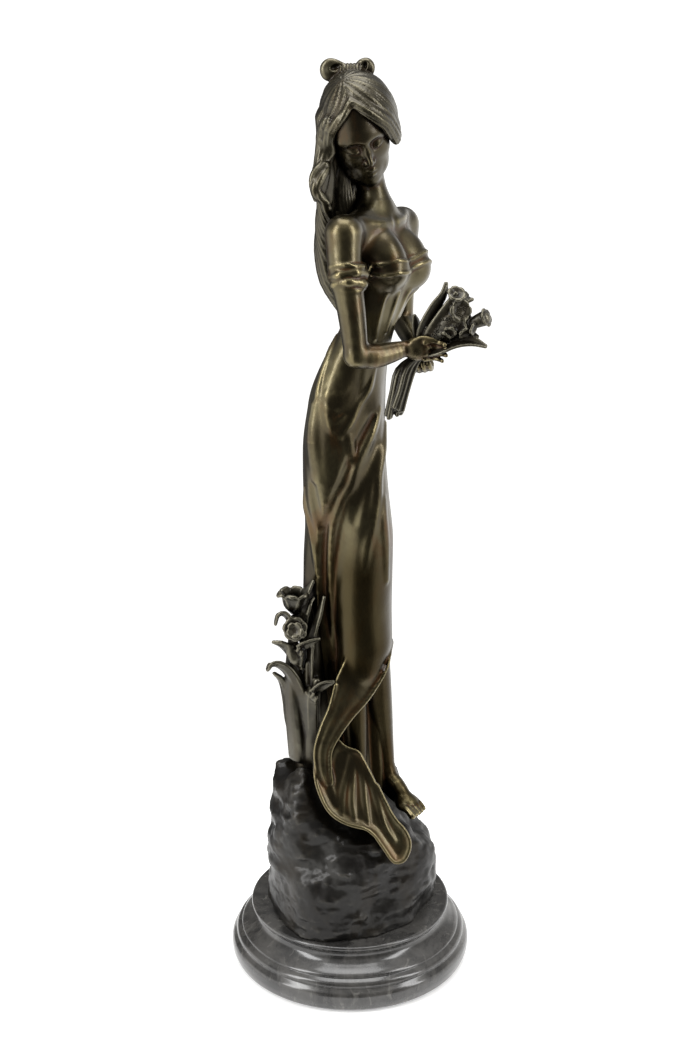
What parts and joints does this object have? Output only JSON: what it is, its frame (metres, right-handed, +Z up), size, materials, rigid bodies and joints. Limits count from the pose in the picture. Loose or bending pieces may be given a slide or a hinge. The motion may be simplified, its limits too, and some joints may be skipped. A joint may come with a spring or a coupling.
{
  "type": "bronze figurine on a turned stone plinth",
  "caption": "Standing bronze lady with a bow in her long hair, a bouquet and a trailing wrapped dress, on a rough rock with flowers, cast in one, on a round turned dark stone plinth.",
  "frame": {"origin": "centre of the plinth's flat underside", "axes": "+Z up; the side seen in the picture faces -Y and the bouquet reaches towards +X"},
  "size_m": [0.2036, 0.2, 0.7299],
  "materials": {
    "bronze": "dark brown and olive patina over bronze, edges rubbed golden",
    "stone": "polished dark grey-brown mottled stone"
  },
  "bodies": {
    "root": {"lady_casting": "bronze", "turned_plinth": "stone"}
  },
  "joints": []
}
